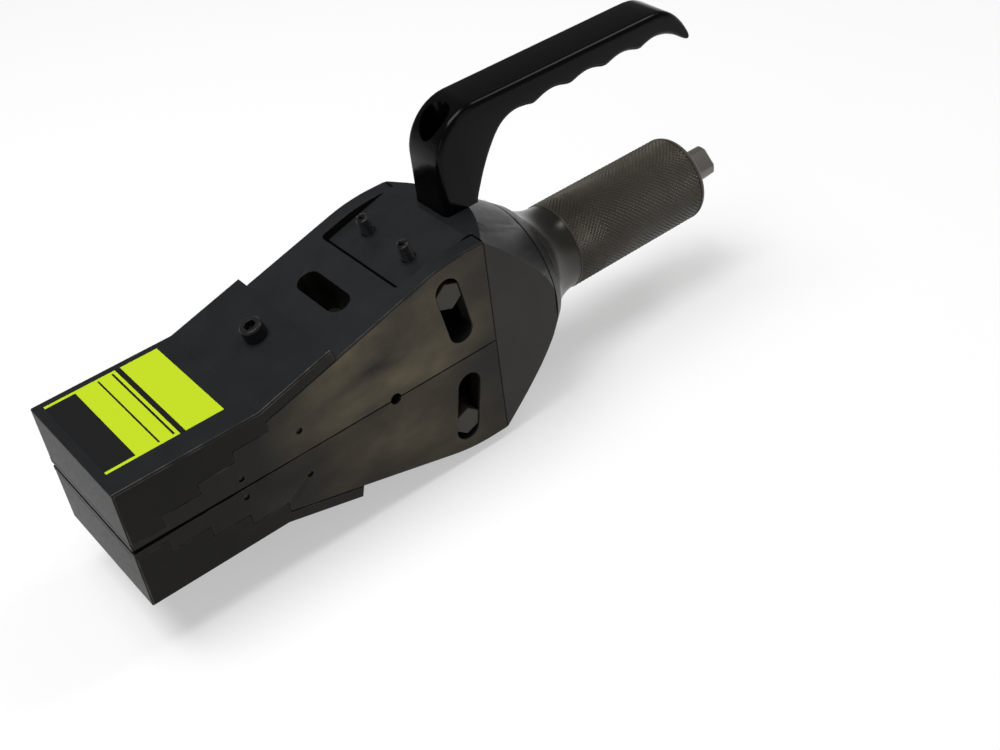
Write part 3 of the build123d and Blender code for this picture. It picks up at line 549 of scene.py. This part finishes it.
class HandleSettings(bpy.types.PropertyGroup):
    """Carry handle and label."""

    enamel: bpy.props.FloatVectorProperty(
        name="Enamel", description="Colour of the handle's enamel", subtype="COLOR",
        min=0, max=1, default=(0.0016, 0.0016, 0.0018))
    rounding: bpy.props.FloatProperty(
        name="Rounding", description="Radius of the handle's long edges", subtype="DISTANCE",
        unit="LENGTH", min=0.0005, max=0.004, default=0.0024)
    label: bpy.props.FloatVectorProperty(
        name="Label", description="Colour of the label's panels", subtype="COLOR",
        min=0, max=1, default=(0.50, 0.66, 0.012))
    label_ground: bpy.props.FloatVectorProperty(
        name="Label ground", description="Colour between the label's panels", subtype="COLOR",
        min=0, max=1, default=(0.006, 0.006, 0.006))


def steel():
    """The steel settings."""
    return bpy.context.scene.spreader_steel


def finishes():
    """The materials, made once and kept by name."""
    made = bpy.data.materials
    if "jaw steel" in made:
        return made
    tone = steel()
    top, side, brown, worn = (tuple(colour) for colour in (tone.top, tone.side, tone.brown, tone.worn))
    dim = tuple(0.3 * c for c in brown)
    # Each steel paints a bluish reflection on its flat faces with the top colour; the grip's top and side are
    # one colour.
    blackened("jaw steel", top, side, brown, (0.36, 0.56), 0.05, 0.14)
    blackened("lower jaw steel", top, side, tuple(0.6 * c for c in brown), (0.36, 0.56), 0.05, 0.12)
    blackened("block steel", top, tuple(0.8 * c for c in side), side, (0.32, 0.50), 0.0, 0.10)
    blackened("housing steel", top, side, dim, (0.26, 0.44), 0.05, 0.20)
    rubbed("worn steel", side, worn, 0.4, 0.5)
    grip = tuple(bpy.context.scene.spreader_grip.colour)
    blackened("grip steel", grip, grip, tuple(1.25 * c for c in grip), (0.32, 0.48), 0.3, 0.3, 0.05)
    # Painted dark reflection: the smooth, glossy neck is a darker copy of the grip colour, standing in for
    # the dark room mirrored in its concave curve.
    plain("neck steel", tuple(0.30 * c for c in grip), 0.24, 0.2, 0.3)
    handle = bpy.context.scene.spreader_handle
    plain("black enamel", tuple(handle.enamel), 0.17, shine=0.10, relief=0.08)
    plain("black fastener", (0.012, 0.012, 0.013), 0.34, 0.3, 0.3)
    plain("bolt steel", (0.040, 0.036, 0.028), 0.42, 0.1, 0.2)
    plain("ground steel", (0.34, 0.33, 0.31), 0.32, 1.0)
    plain("bearing steel", (0.62, 0.62, 0.63), 0.18, 1.0)
    plain("screw steel", (0.16, 0.15, 0.135), 0.38, 0.5)
    plain("bronze", (0.55, 0.36, 0.16), 0.32, 1.0)
    plain("cage brass", (0.72, 0.55, 0.24), 0.28, 1.0)
    plain("seal rubber", (0.02, 0.02, 0.02), 0.6)
    plain("label panel", tuple(handle.label), 0.42, shine=0.2)
    plain("label ground", tuple(handle.label_ground), 0.42, shine=0.2)
    floor = plain("studio floor", (0.54, 0.54, 0.54), 0.9, shine=0.1).node_tree.nodes["Principled BSDF"]
    floor.inputs["Emission Color"].default_value = (1, 1, 1, 1)
    floor.inputs["Emission Strength"].default_value = FLOOR_GLOW
    return made


class SPREADER_OT_jaws(bpy.types.Operator):
    """Round and wear the edges of both jaws"""

    bl_idname = "spreader.jaws"
    bl_label = "Jaws"

    def execute(self, context):
        made = finishes()
        for side, finish in (("upper", "jaw steel"), ("lower", "lower jaw steel")):
            edged_copy(f"{side}_jaw", f"{side}_jaw_edged", f"{side}_jaw_body",
                       made[finish], made["worn steel"], steel().edge_width)
        return {"FINISHED"}


class SPREADER_OT_blocks(bpy.types.Operator):
    """Round and wear the edges of both stepped blocks"""

    bl_idname = "spreader.blocks"
    bl_label = "Stepped blocks"

    def execute(self, context):
        made = finishes()
        for side in ("upper", "lower"):
            edged_copy(f"{side}_step_block", f"{side}_block_edged", f"{side}_jaw_body",
                       made["block steel"], made["worn steel"], steel().edge_width)
        return {"FINISHED"}


class SPREADER_OT_housing(bpy.types.Operator):
    """Round the edges of the housing and its arms, in the housing's own finish"""

    bl_idname = "spreader.housing"
    bl_label = "Housing"

    def execute(self, context):
        made = finishes()
        edged_copy("housing", "housing_edged", "frame",
                   made["housing steel"], made["housing steel"],
                   HOUSING_EDGE_RATIO * steel().edge_width, HOUSING_EDGE_ANGLE, False)
        return {"FINISHED"}


class SPREADER_OT_fasteners(bpy.types.Operator):
    """Round the bolts and give the locking screws their threads"""

    bl_idname = "spreader.fasteners"
    bl_label = "Bolts and screws"

    def execute(self, context):
        made = finishes()
        black = made["black fastener"]
        for side in ("upper", "lower"):
            edged_copy(f"{side}_block_screw", f"{side}_cap_screw", f"{side}_jaw_body",
                       black, black, FASTENER_EDGE)
        edged_copy("guide_bolts", "guide_bolts_edged", "frame", made["bolt steel"],
                   made["bolt steel"], BOLT_EDGE)
        rods = []
        for flip in (1, -1):
            axis = Vector((-sin(RAMP_ANGLE), 0, flip * cos(RAMP_ANGLE)))
            for spread in (LOCK_SPREAD, -LOCK_SPREAD):
                base = np.array([BOLT_X, spread, flip * BOLT_Z]) + LOCK_SUNK * np.array(axis)
                rod = threaded_rod("lock screw", LOCK_RADIUS, THREAD_PITCH, LOCK_TOP - LOCK_SUNK, base, axis)
                piece = bpy.data.objects.new("rod", rod)
                bpy.context.scene.collection.objects.link(piece)
                top = base + (LOCK_TOP - LOCK_SUNK) * np.array(axis)
                cut(piece, prism("socket", top - SOCKET_DEPTH * np.array(axis), axis, 6,
                                 SOCKET_RADIUS, SOCKET_DEPTH + SOCKET_PAST))
                rods.append(piece.data)
                bpy.data.objects.remove(piece)
        joined = joined_mesh("lock screws", rods)
        add_piece("threaded_lock_screws", joined, [black], "frame", ("lock_screws",))
        return {"FINISHED"}


def sleeve_profile(root, knurl_start, knurl_end):
    """Profile of the sleeve as (x, radius): spigot, flange, neck and grip, and back through its bores.

    The neck is an arc that ends level with the grip: its radius is the square of its run plus the square of
    its rise, over twice the rise. Under the knurl the sleeve stays just below the root of the grooves.
    """
    run, rise = GRIP_START - FLANGE_END, FLANGE_END_RADIUS - NECK_RADIUS
    curve = (run ** 2 + rise ** 2) / (2 * rise)
    angle = np.linspace(atan2(run, curve - rise), 0, 24)
    neck = np.stack([GRIP_START - curve * np.sin(angle), NECK_RADIUS + curve * (1 - np.cos(angle))], -1)
    round_angle = np.linspace(pi / 2, 0, 10)
    end = np.stack([GRIP_END - GRIP_ROUND + GRIP_ROUND * np.cos(round_angle),
                    GRIP_RADIUS - GRIP_ROUND + GRIP_ROUND * np.sin(round_angle)], -1)
    skin = GRIP_RADIUS - UNDER_SKIN
    wall_start = GRIP_END - REAR_WALL
    return [(SPIGOT_START, SLEEVE_BORE), (SPIGOT_START, SPIGOT_RADIUS), (FLANGE_START, SPIGOT_RADIUS),
            (FLANGE_START, FLANGE_RADIUS - FLANGE_GROOVE),
            (FLANGE_START + FLANGE_BREAK_RUN, FLANGE_RADIUS - FLANGE_BREAK),
            *neck.tolist(),
            (GRIP_START + NECK_STEP, skin),
            (knurl_start, skin), (knurl_start + KNURL_RELIEF, root - UNDER_SKIN),
            (knurl_end - KNURL_RELIEF, root - UNDER_SKIN), (knurl_end, skin),
            *end.tolist(),
            (GRIP_END, JOURNAL_BORE), (wall_start, JOURNAL_BORE), (wall_start, SLEEVE_BORE)]


def knurl_rings(settings, root, knurl_start, knurl_end):
    """Rings of points of the diamond knurl, in metres, with a sunk ring at either end.

    Two triangle waves of the turn wind along the grip in opposite directions. The lower of the two, flattened
    at its top, says how much of the groove's depth is left standing at a point.
    """
    pitch = settings.pitch / MM
    steps = int(round((knurl_end - knurl_start) / pitch * DIAMOND_STEPS))
    turn = np.linspace(0, 2 * pi, settings.starts * DIAMOND_STEPS, endpoint=False)
    x, t = np.meshgrid(np.linspace(knurl_start, knurl_end, steps + 1), turn, indexing="ij")
    first = np.mod(t / (2 * pi) * settings.starts + (x - knurl_start) / pitch, 1.0)
    second = np.mod(t / (2 * pi) * settings.starts - (x - knurl_start) / pitch, 1.0)
    ridge = np.minimum(1 - np.abs(2 * first - 1), 1 - np.abs(2 * second - 1))
    r = GRIP_RADIUS - settings.depth / MM * (1 - np.minimum(1.0, KNURL_FLAT * ridge))
    outer = np.stack([x, r * np.cos(t), r * np.sin(t)], -1)
    backing = root - KNURL_BACKING
    first_ring = np.stack([x[:1], backing * np.cos(t[:1]), backing * np.sin(t[:1])], -1)
    last_ring = first_ring + np.array([knurl_end - knurl_start, 0, 0])
    return np.concatenate([first_ring, outer, last_ring]) * MM


class SPREADER_OT_sleeve(bpy.types.Operator):
    """Turn the sleeve and cut its diamond knurl"""

    bl_idname = "spreader.sleeve"
    bl_label = "Knurled sleeve"

    def execute(self, context):
        made = finishes()
        settings = context.scene.spreader_grip
        knurl_start, knurl_end = GRIP_START + KNURL_MARGIN, GRIP_END - GRIP_ROUND
        root = GRIP_RADIUS - settings.depth / MM
        sleeve = turned("turned sleeve", sleeve_profile(root, knurl_start, knurl_end))
        add_piece("turned_sleeve", sleeve, [made["grip steel"], made["neck steel"], made["housing steel"]],
                  "frame", ("sleeve",))
        centres = np.empty(3 * len(sleeve.polygons))
        sleeve.polygons.foreach_get("center", centres)
        centre_x = centres[::3] / MM
        # Flange faces take the housing steel, the neck the darker neck steel with its painted dark
        # reflection, and the grip the grip steel.
        finish = np.where(centre_x < FLANGE_END, 2, np.where(centre_x < GRIP_START, 1, 0))
        sleeve.polygons.foreach_set("material_index", finish.astype(np.int32))
        knurl = grid_mesh("diamond knurl", knurl_rings(settings, root, knurl_start, knurl_end), 80.0)
        knurl.polygons.foreach_set("use_smooth", np.zeros(len(knurl.polygons), dtype=bool))
        add_piece("diamond_knurl", knurl, [made["grip steel"]], "frame")
        return {"FINISHED"}


class SPREADER_OT_drive_screw(bpy.types.Operator):
    """Round the square end of the drive screw"""

    bl_idname = "spreader.drive_screw"
    bl_label = "Drive screw"

    def execute(self, context):
        made = finishes()
        edged_copy("drive_screw", "square_ended_screw", "spindle", made["screw steel"],
                   made["worn steel"], SQUARE_EDGE)
        return {"FINISHED"}


def handle_outline():
    """Side outline of the handle in millimetres, as an array of (x, z) running once round it.

    Near the cusps between the finger hollows, each pass moves a point half way to the middle of its
    neighbours, and less the farther the point lies from the cusp.
    """
    def arc(cx, cz, r, start, stop, count):
        angle = np.radians(np.linspace(start, stop, count))
        return np.stack([cx + r * np.cos(angle), cz + r * np.sin(angle)], -1)

    def through(points, count):
        """A smooth curve through points: Catmull-Rom with mirrored ends."""
        points = np.array(points, dtype=float)
        padded = np.vstack([2 * points[0] - points[1], points, 2 * points[-1] - points[-2]])
        t = np.linspace(0, len(points) - 1, count)
        i = np.minimum(t.astype(int), len(points) - 2)
        u = (t - i)[:, None]
        p0, p1, p2, p3 = padded[i], padded[i + 1], padded[i + 2], padded[i + 3]
        return 0.5 * (2 * p1 + (p2 - p0) * u + (2 * p0 - 5 * p1 + 4 * p2 - p3) * u ** 2
                      + (3 * p1 - p0 - 3 * p2 + p3) * u ** 3)

    def scallop(right, left, dip):
        """One finger hollow: a parabola between two cusps, dip above them."""
        u = np.linspace(0, 1, 14)[:-1]
        x = right[0] + (left[0] - right[0]) * u
        z = right[1] + (left[1] - right[1]) * u + dip * 4 * u * (1 - u)
        return np.stack([x, z], -1)

    front = np.stack([np.full(8, HANDLE_FRONT), np.linspace(HANDLE_BASE, HANDLE_TOP - HANDLE_BEND, 8)], -1)
    bend = arc(HANDLE_FRONT + HANDLE_BEND, HANDLE_TOP - HANDLE_BEND, HANDLE_BEND, 180, 90, 30)[1:]
    top = np.stack([np.linspace(*TOP_RUN, 14), np.full(14, HANDLE_TOP)], -1)
    hook = through(HOOK_CURVE, 70)
    hollows = np.concatenate([scallop(right, left, SCALLOP_DEPTH)
                              for right, left in zip(HANDLE_CUSPS[:-1], HANDLE_CUSPS[1:])])
    throat = through(THROAT_CURVE, 46)
    base = np.stack([np.linspace(HANDLE_REAR, HANDLE_FRONT, 8)[1:-1], np.full(6, HANDLE_BASE)], -1)
    outline = np.concatenate([front, bend, top, hook[:-1], hollows, throat, base])
    near = np.zeros(len(outline))
    for cusp in HANDLE_CUSPS:
        distance = np.hypot(*(outline - np.array(cusp)).T)
        near = np.maximum(near, np.clip(2 - distance / CUSP_ROUND, 0, 1))
    for _ in range(CUSP_PASSES):
        middle = (np.roll(outline, 1, 0) + np.roll(outline, -1, 0)) / 2
        outline = outline + 0.5 * near[:, None] * (middle - outline)
    return outline


def swept_handle(outline, radius):
    """Rings of points of the handle across its width, in metres, its long edges rounded by a radius.

    Each ring is the outline moved inward, along the direction square to it, by the radius less its part
    along the cosine of an angle, while the ring stands off the middle by the sine. The rounding gets thinner
    towards the tip of the hook, and the foot keeps its height.
    """
    ahead, behind = np.roll(outline, -1, 0) - outline, outline - np.roll(outline, 1, 0)
    ahead /= np.maximum(np.linalg.norm(ahead, axis=1), 1e-9)[:, None]
    behind /= np.maximum(np.linalg.norm(behind, axis=1), 1e-9)[:, None]
    tangent = ahead + behind
    tangent /= np.maximum(np.linalg.norm(tangent, axis=1), 1e-9)[:, None]
    inward = np.stack([tangent[:, 1], -tangent[:, 0]], -1)
    level = np.stack([inward[:, 0], np.zeros(len(outline))], -1)
    above_foot = (outline[:, 1] > HANDLE_BASE + 0.01)[:, None]
    tip_distance = np.hypot(outline[:, 0] - HOOK_TIP[0], outline[:, 1] - HOOK_TIP[1])
    from_tip = np.clip((tip_distance - HOOK_THIN_FROM) / HOOK_THIN_OVER, 0.0, 1.0)
    thin = from_tip * (1 - HOOK_THIN) + HOOK_THIN
    half = HANDLE_WIDTH / 2
    angle = np.radians(np.linspace(0, 90, 8))
    across = np.concatenate([-(half - radius) - radius * np.sin(angle[::-1]),
                             (half - radius) + radius * np.sin(angle)])
    inset = np.concatenate([radius * (1 - np.cos(angle[::-1])), radius * (1 - np.cos(angle))])
    shift = inset[:, None, None] * thin[None, :, None]
    ring = outline[None] + np.where(above_foot, inward, level)[None] * shift
    y = np.repeat(across[:, None], len(outline), 1)
    return np.stack([ring[..., 0], y, ring[..., 1]], -1) * MM


class SPREADER_OT_handle(bpy.types.Operator):
    """Sweep the carry handle across its width, with rounded long edges and its bolt's hole"""

    bl_idname = "spreader.handle"
    bl_label = "Carry handle"

    def execute(self, context):
        made = finishes()
        points = swept_handle(handle_outline(), context.scene.spreader_handle.rounding / MM)
        mesh = grid_mesh("carry handle", points, 40.0, caps=True)
        piece = add_piece("enamelled_handle", mesh, [made["black enamel"]], "frame",
                          ("carry_handle",))
        cut(piece, prism("bolt hole", (HANDLE_BOLT_X, 0, HANDLE_SEAT), (0, 0, 1), 64,
                         HANDLE_HOLE, HANDLE_TOP - HANDLE_SEAT + HOLE_PAST))
        smooth(piece.data, 40.0)
        return {"FINISHED"}


class SPREADER_OT_label(bpy.types.Operator):
    """Lay blank panels and their dark ground on the upper block"""

    bl_idname = "spreader.label"
    bl_label = "Blank label"

    def execute(self, context):
        made = finishes()
        low_y, high_y = LABEL_ACROSS
        strips = [(start, stop, low_y, high_y) for start, stop in LABEL_STRIPS]
        front = LABEL_STRIPS[0][0]
        gaps = [(before[1], after[0]) for before, after in zip(LABEL_STRIPS[:2], LABEL_STRIPS[1:3])]
        ends = [(start, stop, *place) for start, stop in gaps
                for place in ((low_y, low_y + LABEL_BAR), (high_y - LABEL_BAR, high_y))]
        arms = [(LABEL_FRONT, front, low_y, low_y + LABEL_BAR),
                (LABEL_FRONT, front, high_y - LABEL_BAR, high_y)]
        ground = [(LABEL_FRONT, LABEL_STRIPS[-1][1], low_y, high_y)]
        groups = (("label_panels", strips + ends + arms, PANEL_RISE, "label panel"),
                  ("label_ground", ground, GROUND_RISE, "label ground"))
        for name, panels, rise, finish in groups:
            work = bmesh.new()
            for x0, x1, y0, y1 in panels:
                box_corners(work, (x0, y0, BLOCK_TOP), (x1, y1, BLOCK_TOP + rise))
            mesh = bpy.data.meshes.new(name)
            work.to_mesh(mesh)
            work.free()
            add_piece(name, mesh, [made[finish]], "upper_jaw_body")
        return {"FINISHED"}


class SPREADER_OT_inside(bpy.types.Operator):
    """Give the pieces inside and the small ones their finishes"""

    bl_idname = "spreader.inside"
    bl_label = "Inner pieces"

    def execute(self, context):
        made = finishes()
        wanted = {
            "upper_spring_pins": "black fastener", "lower_spring_pins": "black fastener",
            "wedge": "ground steel", "drive_nut": "bronze", "nut_pins": "black fastener",
            "tail_bush": "bronze", "tail_wiper": "seal rubber", "journal_bush": "bronze",
            "journal_seal": "seal rubber", "retaining_ring": "bearing steel",
            "front_thrust_washer": "bearing steel", "rear_thrust_washer": "bearing steel",
            "thrust_balls": "bearing steel", "ball_cage": "cage brass",
            "handle_bolt": "black fastener", "handle_dowels": "bearing steel",
        }
        for node, name in wanted.items():
            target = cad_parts[node]
            for slot in target.material_slots:
                slot.material = made[name]
        return {"FINISHED"}


class SPREADER_OT_stage(bpy.types.Operator):
    """Lay the floor under the lower jaw, hang the lights and set the camera"""

    bl_idname = "spreader.stage"
    bl_label = "Stage"

    def execute(self, context):
        made = finishes()
        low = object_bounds()[0][2] - 0.0005
        half = FLOOR_HALF
        corners = [(-half, -half, low), (half, -half, low), (half, half, low), (-half, half, low)]
        mesh = bpy.data.meshes.new("studio floor")
        mesh.from_pydata(corners, [], [(0, 1, 2, 3)])
        floor = add_piece("studio_floor", mesh, [made["studio floor"]], "lower_jaw_body")
        floor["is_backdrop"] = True
        world = bpy.data.worlds.new("studio")
        world.use_nodes = True
        tree = world.node_tree
        sky = ramp(tree, part_of(tree, "Generated", "Z"),
                   [(0.02, (0.60, 0.60, 0.60)), (0.20, (0.20, 0.20, 0.20))])
        tree.links.new(sky, tree.nodes["Background"].inputs["Color"])
        context.scene.world = world
        context.scene.view_settings.view_transform = "Standard"
        for name, place, aim, width, power in LIGHTS:
            data = bpy.data.lights.new(name, "AREA")
            data.shape = "SQUARE"
            data.size = width
            data.energy = power
            light = bpy.data.objects.new(name, data)
            direction = Vector(aim) - Vector(place)
            turn = direction.to_track_quat("-Z", "Y").to_matrix().to_4x4()
            light.matrix_world = Matrix.Translation(place) @ turn
            context.scene.collection.objects.link(light)
        azimuth, elevation, roll = radians(CAMERA_AZIMUTH), radians(CAMERA_ELEVATION), radians(CAMERA_ROLL)
        place = Vector(CAMERA_PLACE)
        gaze = Vector((sin(azimuth) * cos(elevation), cos(azimuth) * cos(elevation), -sin(elevation)))
        right = gaze.cross(Vector((0, 0, 1))).normalized()
        up = right.cross(gaze)
        right, up = cos(roll) * right + sin(roll) * up, -sin(roll) * right + cos(roll) * up
        data = bpy.data.cameras.new("camera")
        data.sensor_width = 36.0
        data.lens = CAMERA_LENS
        data.clip_start = 0.01
        camera = bpy.data.objects.new("camera", data)
        camera.matrix_world = Matrix.Translation(place) @ Matrix((right, up, -gaze)).transposed().to_4x4()
        context.scene.collection.objects.link(camera)
        context.scene.camera = camera
        return {"FINISHED"}


class SPREADER_PT_panel(bpy.types.Panel):
    """Buttons for each group of pieces"""

    bl_idname = "SPREADER_PT_panel"
    bl_label = "Flange spreader"
    bl_space_type = "VIEW_3D"
    bl_region_type = "UI"
    bl_category = "Spreader"

    def draw(self, context):
        for operator in OPERATORS:
            self.layout.operator(operator.bl_idname)


OPERATORS = (
    SPREADER_OT_jaws,
    SPREADER_OT_blocks,
    SPREADER_OT_housing,
    SPREADER_OT_fasteners,
    SPREADER_OT_sleeve,
    SPREADER_OT_drive_screw,
    SPREADER_OT_handle,
    SPREADER_OT_label,
    SPREADER_OT_inside,
    SPREADER_OT_stage,
)
SETTINGS = (SteelSettings, GripSettings, HandleSettings)


def register():
    """Register the settings, the operators and the panel."""
    for kind in SETTINGS + OPERATORS + (SPREADER_PT_panel,):
        bpy.utils.register_class(kind)
    bpy.types.Scene.spreader_steel = bpy.props.PointerProperty(type=SteelSettings)
    bpy.types.Scene.spreader_grip = bpy.props.PointerProperty(type=GripSettings)
    bpy.types.Scene.spreader_handle = bpy.props.PointerProperty(type=HandleSettings)


def unregister():
    """Take everything back out."""
    del bpy.types.Scene.spreader_handle
    del bpy.types.Scene.spreader_grip
    del bpy.types.Scene.spreader_steel
    for kind in reversed(SETTINGS + OPERATORS + (SPREADER_PT_panel,)):
        bpy.utils.unregister_class(kind)


def main():
    """Build every piece in order."""
    register()
    for operator in OPERATORS:
        group, action = operator.bl_idname.split(".")
        getattr(getattr(bpy.ops, group), action)()
    bpy.context.view_layer.update()


if __name__ == "__main__":
    main()
